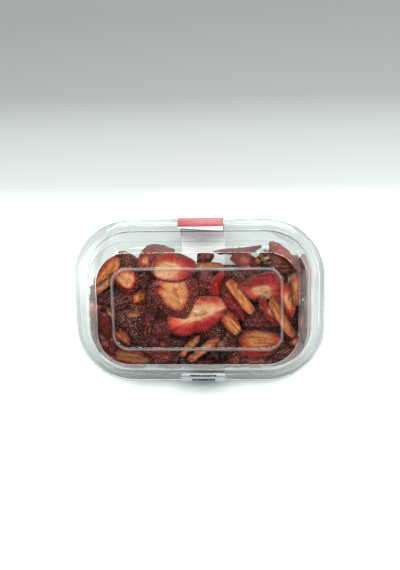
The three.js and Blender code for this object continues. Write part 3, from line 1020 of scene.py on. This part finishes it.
# %% What the fruit's finish varies with
def fruit_pattern(tree):
    """The values stored with a slice's points, and noise laid out along them."""
    fruit = SimpleNamespace(**{key: attribute(tree, key) for key in ("ring", "skin", "edge", "rim")})
    fruit.flat = attribute(tree, "flat", "Vector")
    tone = add_node(tree, "SeparateXYZ", {0: attribute(tree, "tone", "Vector")})
    fruit.rosy, fruit.light, fruit.stripes = tone.outputs
    spoke = add_node(tree, "SeparateXYZ", {0: attribute(tree, "spoke", "Vector")})
    spoke_x, spoke_y, teeth_round = spoke.outputs
    fruit.off_centre = fade(tree, fruit.ring, 0.12, 0.5)

    def noise(scale, detail, roughness=0.5, place=fruit.flat):
        return add_node(tree, "TexNoise", {"Vector": place}, Scale=scale, Detail=detail,
                        Roughness=roughness).outputs["Fac"]

    # Fibres: noise drawn out along each spoke, and for striped slices along the whole length.
    around = add_node(tree, "CombineXYZ", {0: spoke_x, 1: spoke_y}, Z=0.4).outputs[0]
    radial = noise(6.5, 3.0, 0.7, around)
    lengthwise = add_node(tree, "Group", {"Place": fruit.flat}, node_tree=FIBRES,
                          Stretch=(0.07, 0.62, 2.0), Detail=4.0, Roughness=0.75).outputs["Fibres"]
    share = maths(tree, "MAXIMUM", fruit.stripes, maths(tree, "SUBTRACT", 1.0, fruit.off_centre))
    fruit.fibre = add_node(tree, "Mix", {0: share, 2: radial, 3: lengthwise}).outputs[0]

    # Blotches a few millimetres wide, and specks.
    fruit.blotch = noise(0.3, 5.0, 0.65)
    fruit.speckle = noise(1.4, 3.0, 0.7)

    # Comb: the fine light and dark teeth that run in from the rim.
    angle = maths(tree, "ARCTAN2", spoke_y, spoke_x)
    waver = maths(tree, "MULTIPLY", noise(0.25, 1.0), 9.0)
    wave = maths(tree, "SINE", maths(tree, "MULTIPLY_ADD", angle, teeth_round, waver))
    fruit.comb = maths(tree, "MULTIPLY", wave, fade(tree, fruit.ring, 0.35, 0.7))

    # Dimples: one round every seed of the skin.
    fruit.dimple = add_node(tree, "TexVoronoi", {"Vector": fruit.flat}, Scale=0.46, feature="SMOOTH_F1",
                            Smoothness=0.5).outputs["Distance"]
    return fruit


# %% Colour of the cut flesh
TAWNY = [
    (0.0, srgb(196, 124, 76)), (0.2, srgb(206, 134, 82)), (0.36, srgb(222, 154, 100)),
    (0.5, srgb(200, 108, 62)), (0.68, srgb(174, 76, 50)), (1.0, srgb(140, 52, 42))]
RIPE = [
    (0.0, srgb(232, 178, 138)), (0.2, srgb(238, 188, 146)), (0.36, srgb(244, 204, 164)),
    (0.47, srgb(228, 138, 114)), (0.58, srgb(206, 88, 78)), (0.84, srgb(186, 64, 64)),
    (1.0, srgb(164, 50, 54))]
PALE_EDGE = srgb(238, 190, 140)


def flesh_colour(tree, fruit):
    """From the pale core out to the darker rim, tawny or ripe, with all its markings over it."""
    blotch, comb = fruit.blotch, fruit.comb
    sway = maths(tree, "MULTIPLY_ADD", fruit.fibre, 0.55, maths(tree, "MULTIPLY_ADD", blotch, 0.5, -0.52))
    depth = maths(tree, "ADD", fruit.ring, maths(tree, "MULTIPLY_ADD", comb, 0.06, sway))
    flesh = mix_colour(tree, fruit.rosy, ramp(tree, depth, TAWNY), ramp(tree, depth, RIPE))
    streaks = ramp(tree, fruit.fibre, [
        (0.37, (0.38, 0.28, 0.25)), (0.49, (0.95, 0.93, 0.92)), (0.64, (1.35, 1.32, 1.28))])
    strength = maths(tree, "MAXIMUM", maths(tree, "MULTIPLY_ADD", fruit.stripes, 0.5, 0.45), fruit.off_centre)
    flesh = multiplied(tree, strength, flesh, streaks)
    mottle = ramp(tree, blotch, [
        (0.36, (0.7, 0.55, 0.5)), (0.48, (1.0, 1.0, 1.0)), (0.62, (1.12, 1.12, 1.1))])
    flesh = multiplied(tree, maths(tree, "MULTIPLY_ADD", fruit.off_centre, -0.6, 0.9), flesh, mottle)
    teeth = ramp(tree, maths(tree, "MULTIPLY_ADD", comb, 0.5, 0.5), [
        (0.0, (0.5, 0.36, 0.36)), (0.5, (0.9, 0.84, 0.84)), (0.85, (1.6, 2.1, 2.1))])
    flesh = multiplied(tree, 0.8, flesh, teeth)
    flecks = ramp(tree, fruit.speckle, [(0.38, (0.5, 0.4, 0.36)), (0.5, (1.05, 1.05, 1.05))])
    flesh = multiplied(tree, 0.6, flesh, flecks)
    dark_rim = ramp(tree, maths(tree, "ADD", fruit.rim, maths(tree, "MULTIPLY_ADD", blotch, 0.3, -0.15)),
                    [(0.84, (1.0, 1.0, 1.0)), (0.97, (0.42, 0.3, 0.34))])
    flesh = multiplied(tree, 1.0, flesh, dark_rim)
    return mix_colour(tree, fruit.edge, flesh, PALE_EDGE)


print("the ripe core in linear light:", np.round(RIPE[0][1], 2))


# %% Colour of the skin
MAROON = [(0.34, srgb(50, 20, 27)), (0.5, srgb(84, 29, 39)), (0.66, srgb(126, 42, 54))]
ROSY_SKIN = srgb(160, 34, 44)


def skin_colour(tree, fruit):
    """Very dark maroon, redder where it's thin, with painted shade in seed dimples and towards the rim."""
    rosy = maths(tree, "MULTIPLY", fruit.rosy, 0.45)
    skin = mix_colour(tree, rosy, ramp(tree, fruit.blotch, MAROON), ROSY_SKIN)
    # Painted shade in the dimple round every seed, and a painted sheen on the ridges between them.
    dimple_shade_and_sheen = ramp(tree, fruit.dimple, [(0.15, (0.7, 0.66, 0.66)), (0.6, (1.15, 1.08, 1.08))])
    skin = multiplied(tree, 0.8, skin, dimple_shade_and_sheen)
    # Painted light and shade: lighter in the middle of each skin and darker towards its rim.
    shade = ramp(tree, fruit.ring, [
        (0.3, (1.3, 1.2, 1.2)), (0.8, (0.75, 0.7, 0.7)), (1.0, (0.4, 0.35, 0.35))])
    return multiplied(tree, 0.9, skin, shade)


print("the darkest skin in linear light:", np.round(MAROON[0][1], 3))


# %% The fruit material
def fruit_material(name):
    """Flesh and skin together, as light or dark as each slice's own tone says."""
    tree, add, finish = new_material(name)
    fruit = fruit_pattern(tree)
    colour = mix_colour(tree, fruit.skin, flesh_colour(tree, fruit), skin_colour(tree, fruit))
    colour = add("HueSaturation", {"Color": colour}, Saturation=1.06).outputs[0]
    level = maths(tree, "MULTIPLY_ADD", fruit.light, 0.64, 0.042)
    grey = add("CombineColor", {0: level, 1: level, 2: level}).outputs[0]
    furrows = maths(tree, "ADD", fruit.fibre, maths(tree, "MULTIPLY", fruit.comb, 0.15))
    relief = add("Mix", {0: fruit.skin, 2: furrows, 3: fruit.dimple}).outputs[0]
    bump = add("Bump", {"Height": relief}, Strength=0.65, Distance=0.0007)
    return finish(add("BsdfPrincipled", {"Base Color": multiplied(tree, 1.0, colour, grey),
                                         "Roughness": maths(tree, "MULTIPLY_ADD", fruit.fibre, 0.35, 0.3),
                                         "Normal": bump.outputs["Normal"]}, Specular_IOR_Level=0.2))


fruit = fruit_material("dried_strawberry")
print(fruit.name, "has", len(fruit.node_tree.nodes), "nodes")

# %% The sepals' material
def leaf_material(name):
    """Sepals left on a slice, dried to a pale olive with brown veins."""
    tree, add, finish = new_material(name)
    veins = add("Group", {"Place": attribute(tree, "flat", "Vector")}, node_tree=FIBRES,
                Stretch=(0.2, 1.6, 1.0), Detail=3.0, Roughness=0.5).outputs["Fibres"]
    colour = ramp(tree, veins, [
        (0.35, srgb(78, 54, 28)), (0.5, srgb(128, 108, 60)), (0.68, srgb(176, 156, 98))])
    bump = add("Bump", {"Height": veins}, Strength=0.5, Distance=0.0005)
    return finish(add("BsdfPrincipled", {"Base Color": colour, "Normal": bump.outputs["Normal"]},
                      Roughness=0.7))


leaf = leaf_material("dried_sepal")
print("made", leaf.name)

# %% The seeds' material
def seed_material(name):
    """A smooth seed coat, from brown to gold by each seed's own shade, slightly blotched."""
    tree, add, finish = new_material(name)
    blotch = add("Group", {"Place": add("TexCoord").outputs["Object"]}, node_tree=UNEVEN, Scale=700.0,
                 Detail=2.0, Strength=0.2, Distance=0.0001)
    gold = maths(tree, "MULTIPLY_ADD", attribute(tree, "shade"), 0.7, -0.1)
    gold = maths(tree, "MULTIPLY_ADD", blotch.outputs["Patches"], 0.5, gold)
    colour = ramp(tree, gold, [
        (0.12, srgb(68, 32, 22)), (0.42, srgb(142, 90, 52)), (0.78, srgb(206, 154, 92))])
    return finish(add("BsdfPrincipled", {"Base Color": colour, "Normal": blotch.outputs["Normal"]},
                      Roughness=0.36))


seed_finish = seed_material("golden_seed")
print("made", seed_finish.name)

# %% [markdown]
# ## From slices to pieces
#
# Nearly three hundred loose objects would be slow to handle, so the slices of one kind in one layer are
# joined to one piece, and so are the seeds of one layer. Each point keeps the values that the finish reads.
# Instancing one slice many times would be lighter, but then all slices of a kind would be alike.

# %% Join slices and seeds
def join_slices(name, members, material):
    """One object from many slices, with the values that their finish reads."""
    faces, start = [], 0
    for member in members:
        faces += [tuple(start + corner for corner in face) for face in member["faces"]]
        start += len(member["points"])
    piece = mesh_piece(name, np.vstack([member["points"] for member in members]), faces, material)
    for key in ("ring", "skin", "edge", "rim", "spoke", "flat", "tone"):
        give_values(piece, key, np.concatenate([member["values"][key] for member in members]))
    return piece


def join_seeds(name, members, material, one_seed):
    """One object from all the seeds of some slices."""
    drop_points, drop_faces = one_seed
    at, up, along, size, shade = (np.concatenate([m["seeds"][k] for m in members]) for k in range(5))
    across = unit(np.cross(up, along))
    along = np.cross(across, up)
    x, y, z = (drop_points[None, :, axis:axis + 1] for axis in range(3))
    points = at[:, None] + size[:, None, None] * (x * along[:, None] + y * across[:, None] + z * up[:, None])
    count = len(drop_points)
    faces = [tuple(k * count + corner for corner in face) for k in range(len(at)) for face in drop_faces]
    piece = mesh_piece(name, points.reshape(-1, 3), faces, material)
    give_values(piece, "shade", np.repeat(shade, count))
    return piece


for name, members in sorted(groups.items()):
    piece = join_slices(f"slices_{name}", members, leaf if name.endswith("leaf") else fruit)
    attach(piece, "root")
    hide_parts("strawberry_slices")
    print(piece.name, len(members), "slices,", len(piece.data.polygons), "faces")
for zone in ("top", "filler", "side", "floor"):
    members = [m for name, group in groups.items() if name.startswith(zone) for m in group if m["seeds"]]
    seeds = join_seeds(f"seeds_{zone}", members, seed_finish, FINE_SEED if zone == "top" else PLAIN_SEED)
    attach(seeds, "root")
    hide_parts("strawberry_slices")
    print(seeds.name, len(seeds.data.polygons), "faces")

# %% [markdown]
# ## The core
#
# On the real pack there are slices all the way down. Only the outer ones can be seen, so here one dark lumpy
# core fills the middle and closes the view into the heap. Its near-black colour is painted shade, the shade
# deep between the hidden slices. More slices would do the same at many times the triangles. It is a stack of
# rounded oblongs, a little inside the tub's wall, made lumpy by sine waves.

# %% Build the core
CORE_BOTTOM = FLOOR_Z + 5
CORE_WALL_GAP = 7         # from the tub's inner wall
CORE_BACK_GAP = 9         # from the heap's open back
CORE_TOP_INSETS = (34, 42, 50)


def core_piece(name, material):
    rings = [rim_ring(np.interp(z, INNER_Z, INNER_INSET) + CORE_WALL_GAP, z, 10, 16, 8)
             for z in np.linspace(CORE_BOTTOM, CORE_TOP - 1, 7)]
    rings += [rim_ring(inset, CORE_TOP, 10, 16, 8) for inset in CORE_TOP_INSETS]
    points, faces = skin_rings(rings, inside_out=True)
    x, y, z = points.T
    z += np.sin(x / 5) * np.sin(y / 4.3 + x / 11) + np.sin(z / 3)
    y[:] = np.minimum(y, heap_back(x, z) - CORE_BACK_GAP)
    return mesh_piece(name, points, faces, material)


def core_material(name):
    tree, add, finish = new_material(name)
    lumps = add("Group", {"Place": add("TexCoord").outputs["Object"]}, node_tree=UNEVEN, Scale=260.0,
                Detail=4.0, Strength=0.5, Distance=0.001)
    # Painted shade: near black, for the shade deep between the hidden slices.
    colour = ramp(tree, lumps.outputs["Patches"], [(0.35, srgb(14, 8, 9)), (0.7, srgb(40, 16, 18))])
    return finish(add("BsdfPrincipled", {"Base Color": colour, "Normal": lumps.outputs["Normal"]},
                      Roughness=0.8))


core = core_piece("slice_core", core_material("painted_shade_core"))
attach(core, "root")
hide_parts("strawberry_slices")
print(core.name, "has", len(core.data.polygons), "faces")

# %% [markdown]
# ## Label strip
#
# The strip is one band of coated paper. It starts on the front rim, goes down and under the tub, comes up at
# the back and ends on the back rim, where its last centimetre has come unstuck and curls up. A cloth
# simulation could drape it, but the paper is stuck flat nearly everywhere, so a path across the tub does as
# well: it is rounded at the bends, given many points so that it bends softly, and thickened.

# %% The strip's path
PAPER = 0.16
STRIP_MIDDLE = (strip_low.x + strip_high.x) / 2 / MM
STRIP_HALF = (strip_high.x - strip_low.x) / 2 / MM
FOOT_Y = RIM_Y - BASE_INSET + 1.2     # just outside the tub's foot
SIDE_Y = RIM_Y + 0.15                 # just outside the skirt
ON_RIM, ON_STEP = RIM_Z + 0.12, RIM_Z + STEP_RISE + 0.12
# Corners from the front rim, down, under and up again to the loose end: y, z and the radius of the bend.
strip_corners = [
    (-(RIM_Y - 6.4), ON_STEP, 0), (-(RIM_Y - RIM_FLAT - 0.8), ON_STEP, 0.6),
    (-(RIM_Y - RIM_FLAT + 0.2), ON_RIM, 0.6), (-SIDE_Y, ON_RIM, 0.8),
    (-SIDE_Y, RIM_Z - SKIRT_DROP, 3.0), (-FOOT_Y, 0.3, 3.0),
    (FOOT_Y, 0.3, 3.0), (SIDE_Y, RIM_Z - SKIRT_DROP, 3.0), (SIDE_Y, ON_RIM, 0.8),
    (RIM_Y - 3.2, RIM_Z + 0.4, 3.0), (RIM_Y - 7.6, RIM_Z + 2.6, 0)]
print("strip is", round(2 * STRIP_HALF, 1), "mm wide, its middle at x", round(STRIP_MIDDLE, 1))

# %% The strip's mesh
POINT_GAP = 1.2
COLUMNS = 33
LOOSE_LENGTH = 8.0


def strip_piece(name, material):
    path = rounded_path(strip_corners, steps=8)
    fine = [path[0]]
    for a, b in zip(path, path[1:]):
        count = max(1, int(np.linalg.norm(b - a) / POINT_GAP))
        fine += [a + (b - a) * k / count for k in range(1, count + 1)]
    path = np.array(fine)
    length = np.concatenate([[0], np.cumsum(np.linalg.norm(np.diff(path, axis=0), axis=1))])
    across = np.linspace(-1, 1, COLUMNS)
    lift = 0.35 + 0.25 * across + 0.3 * np.sin(2.6 * across + 0.8)
    points, values = [], []
    for face in (0, 1):
        for (y, z), run in zip(offset_path(path, -PAPER * face), length):
            loose = smoothstep(run, length[-1] - LOOSE_LENGTH, length[-1])
            points += [(STRIP_MIDDLE + STRIP_HALF * w, y + loose * (0.5 - 0.9 * w), z + loose * up)
                       for w, up in zip(across, lift)]
            values += [(w, run, length[-1] - run) for w in across]
    rows = len(path)
    other = rows * COLUMNS
    faces = []
    for a in (i * COLUMNS + j for i in range(rows - 1) for j in range(COLUMNS - 1)):
        b = other + a
        faces += [(a, a + 1, a + COLUMNS + 1, a + COLUMNS), (b, b + COLUMNS, b + COLUMNS + 1, b + 1)]
    border = list(range(COLUMNS)) + [i * COLUMNS + COLUMNS - 1 for i in range(1, rows)]
    border += [(rows - 1) * COLUMNS + j for j in range(COLUMNS - 2, -1, -1)]
    border += [i * COLUMNS for i in range(rows - 2, 0, -1)]
    faces += [(b, a, a + other, b + other) for a, b in zip(border, border[1:] + border[:1])]
    piece = mesh_piece(name, points, faces, material)
    give_values(piece, "strip", values)
    give_values(piece, "outside", np.repeat([0.0, 1.0], other))
    print(name, "is", round(float(length[-1])), "mm long")
    return piece


# %% [markdown]
# ## The strip's print
#
# The print is a red field at the loose end and plain dark bars where small print would be, so no words are
# copied. An image texture would do it on a real label, but a few tests on the place along and across the
# strip draw the same shapes sharply, and need no file.

# %% The paper's material and the strip
FIELD_LENGTH = 42.0                   # the red field, back from the loose end
FOLD_START, FOLD_END = 40.0, 43.5     # where the inner face turns pink


def between(tree, value, low, high):
    """1 where a value lies between two limits, and 0 elsewhere."""
    above, below = maths(tree, "GREATER_THAN", value, low), maths(tree, "LESS_THAN", value, high)
    return maths(tree, "MULTIPLY", above, below)


def paper_material(name):
    """Coated white paper with a red field at the loose end and two rows of plain dark bars at the other."""
    tree, add, finish = new_material(name)
    across, from_front, from_back = add("SeparateXYZ", {0: attribute(tree, "strip", "Vector")}).outputs
    outside = attribute(tree, "outside")
    place = add("TexCoord").outputs["Object"]
    fibres = add("Group", {"Place": place}, node_tree=UNEVEN, Scale=900.0, Detail=4.0, Strength=0.2,
                 Distance=0.0002)
    clouds = add("TexNoise", {"Vector": place}, Scale=120.0, Detail=2.0).outputs["Fac"]
    colour = ramp(tree, fibres.outputs["Patches"], [(0.3, (0.72, 0.72, 0.74)), (0.7, (0.84, 0.83, 0.84))])

    # The red field ends in a slanting edge near the loose end, and is darkest there.
    fading = maths(tree, "MULTIPLY_ADD", clouds, 0.5, maths(tree, "MULTIPLY_ADD", from_back, 0.08, -0.1))
    red = ramp(tree, fading, [(0.3, srgb(108, 24, 30)), (0.5, srgb(146, 62, 66)), (0.75, srgb(170, 98, 100))])
    field = between(tree, from_back, maths(tree, "ADD", across, 2.0), FIELD_LENGTH)
    colour = mix_colour(tree, maths(tree, "MULTIPLY", field, outside), colour, red)

    # Painted shade: the strip's front end is grey, and two rows of bars on it stand for the small print.
    colour = mix_colour(tree, maths(tree, "LESS_THAN", from_front, 7.0), colour, (0.34, 0.38, 0.4))
    jumble = add("TexNoise", {"Vector": place}, Scale=800.0, Detail=0.0).outputs["Fac"]
    first_row = maths(tree, "MULTIPLY", between(tree, from_front, 1.1, 3.2), between(tree, across, -0.6, 0.62))
    second_row = maths(tree, "MULTIPLY", between(tree, from_front, 5.2, 7.0), between(tree, across, -0.5, 0.55))
    printed = maths(tree, "MULTIPLY", maths(tree, "MAXIMUM", first_row, second_row),
                    maths(tree, "GREATER_THAN", jumble, 0.32))
    printed = maths(tree, "MULTIPLY", maths(tree, "MULTIPLY", printed, outside), 0.95)
    colour = mix_colour(tree, printed, colour, srgb(26, 28, 34))

    # The inner face turns pink at the fold under the tub, and along its edges up to the fold.
    edges = maths(tree, "MULTIPLY", maths(tree, "GREATER_THAN", maths(tree, "ABSOLUTE", across), 0.95),
                  maths(tree, "LESS_THAN", from_back, FOLD_END))
    blush = maths(tree, "MAXIMUM", between(tree, from_back, FOLD_START, FOLD_END), edges)
    blush = maths(tree, "MULTIPLY", blush, maths(tree, "SUBTRACT", 1.0, outside))
    colour = mix_colour(tree, maths(tree, "MULTIPLY", blush, 0.6), colour, srgb(214, 120, 124))
    return finish(add("BsdfPrincipled", {"Base Color": colour, "Normal": fibres.outputs["Normal"]},
                      Roughness=0.45))


strip = strip_piece("label_paper", paper_material("label_paper"))
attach(strip, "root")
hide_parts("label_strip")
print(strip.name, "has", len(strip.data.polygons), "faces")

# %% [markdown]
# ## The surface under the pack
#
# The pack stands on a plain white surface that falls off to pale grey behind it. Most of the fall-off and
# the soft shade round the pack are in the surface's colour. Lamps could make them too, but then each change
# to the light on the pack would move them.

# %% Stage
STAGE_REACH = 1500
FALL_OFF = 0.2                        # metres behind the pack's middle
SHADE_REACH = (0.044, 0.0145)         # the middle line from which the shade's outline is measured
FULL = (1.0, 1.0, 1.0)


def stage_piece():
    tree, add, finish = new_material("white_surface")
    x, y, _ = add("SeparateXYZ", {0: add("TexCoord").outputs["Object"]}).outputs
    far = add("MapRange", {0: y}, From_Min=0.0, From_Max=FALL_OFF)
    brightness = ((0.0, 1.0), (0.12, 0.95), (0.2, 0.92), (0.3, 0.84), (0.4, 0.51), (0.6, 0.38), (0.72, 0.26),
                  (1.0, 0.2))
    colour = ramp(tree, far.outputs[0], [(stop, (0.92 * m, 0.98 * m, 0.97 * m)) for stop, m in brightness])

    # The pack keeps some light off the surface: under its back half, and in a soft line along its front.
    beyond = [maths(tree, "MAXIMUM", maths(tree, "SUBTRACT", maths(tree, "ABSOLUTE", value), reach), 0.0)
              for value, reach in zip((x, y), SHADE_REACH)]
    squares = [maths(tree, "MULTIPLY", value, value) for value in beyond]
    away = maths(tree, "MULTIPLY", maths(tree, "SQRT", maths(tree, "ADD", *squares)), 10.0)
    under = ramp(tree, away, [(0.36, (0.6, 0.61, 0.61)), (0.41, FULL)])
    before = ramp(tree, away, [(0.46, (0.95, 0.95, 0.95)), (0.55, (0.53, 0.55, 0.545)),
                               (0.58, (0.71, 0.73, 0.725)), (0.62, (0.89, 0.9, 0.9)), (0.7, FULL)])
    shade = mix_colour(tree, fade(tree, y, -0.015, 0.035), FULL, under)
    along_front = maths(tree, "MULTIPLY", fade(tree, y, -0.03, -0.07),
                        fade(tree, maths(tree, "ABSOLUTE", x), 0.095, 0.045))
    shade = mix_colour(tree, along_front, shade, before)
    material = finish(add("BsdfPrincipled", {"Base Color": multiplied(tree, 1.0, colour, shade)}, Roughness=0.7,
                          Specular_IOR_Level=0.2))
    points = [(sx * STAGE_REACH, sy * STAGE_REACH, 0) for sx, sy in ((-1, -1), (1, -1), (1, 1), (-1, 1))]
    floor = mesh_piece("floor", points, [(0, 1, 2, 3)], material, smooth=False)
    print(floor.name, "is", 2 * STAGE_REACH, "mm wide")


stage_piece()

# %% [markdown]
# ## Light
#
# The main light is a wide soft box high at the back, which lights the fruit from above and keeps its mirror
# image off the flat panel. Three weak boxes give the plastic's bends their bright lines, and a pale surround
# fills the shadows. One large light overhead would be simpler, but its mirror image would veil the lid.

# %% Lamps and surround
def soft_box(name, place, aim, width, depth, power):
    data = bpy.data.lights.new(name, "AREA")
    data.shape = "RECTANGLE"
    data.size, data.size_y, data.energy = width, depth, power
    lamp = bpy.data.objects.new(name, data)
    lamp.location = place
    lamp.rotation_euler = (Vector(aim) - Vector(place)).to_track_quat("-Z", "Y").to_euler()
    lamp.visible_camera = False
    bpy.context.scene.collection.objects.link(lamp)
    print(name, "gives", power, "W")


soft_box("back_box", (0.02, 0.46, 0.84), (0, -0.05, 0), 0.8, 0.38, 13.2)
soft_box("right_box", (0.6, 0.5, 0.3), (0, 0, 0.04), 0.5, 0.1, 2.6)
soft_box("left_box", (-0.42, 0.62, 0.2), (0, 0, 0.04), 0.16, 0.16, 1.2)
soft_box("front_box", (0.0, -0.75, 0.42), (0, 0, 0.03), 0.6, 0.06, 0.4)


def surround():
    """A pale room: bright low down, a little brighter at the back than at the front, and dim straight overhead.
    """
    world = bpy.data.worlds.new("surround")
    bpy.context.scene.world = world
    world.use_nodes = True
    tree = world.node_tree
    background = tree.nodes["Background"]
    _, y, z = add_node(tree, "SeparateXYZ", {0: add_node(tree, "TexCoord").outputs["Generated"]}).outputs
    overhead = ramp(tree, z, [(0.0, FULL), (0.55, (0.8, 0.8, 0.8)), (0.85, (0.04, 0.04, 0.04))])
    tree.links.new(multiplied(tree, 1.0, overhead, (0.93, 1.0, 0.98)), background.inputs["Color"])
    tree.links.new(maths(tree, "MULTIPLY_ADD", y, 0.1, 0.86), background.inputs["Strength"])


surround()

# %% [markdown]
# ## Camera
#
# The camera looks down steeply from above and a little behind, and is turned by about a degree, as one held
# in the hand would be. It stands at the same eye point that the top slices were laid for.

# %% Camera
LENS = 52.98
ROLL = 1.1
TARGET = (0.0010, 0.0123, RIM_Z * MM)

camera_data = bpy.data.cameras.new("camera")
camera_data.sensor_width = 36.0
camera_data.lens = LENS
camera_data.clip_start, camera_data.clip_end = 0.01, 10.0
camera = bpy.data.objects.new("camera", camera_data)
eye = Vector(EYE * MM)
forward = (Vector(TARGET) - eye).normalized()
right = forward.cross(Vector((0, 1, 0))).normalized()
right = Matrix.Rotation(math.radians(ROLL), 3, forward) @ right
up = right.cross(forward)
camera.matrix_world = Matrix.Translation(eye) @ Matrix((right, up, -forward)).transposed().to_4x4()
bpy.context.scene.collection.objects.link(camera)
bpy.context.scene.camera = camera
bpy.context.scene.view_settings.view_transform = "Standard"
print("camera stands", round((Vector(TARGET) - eye).length, 3), "m from its target")
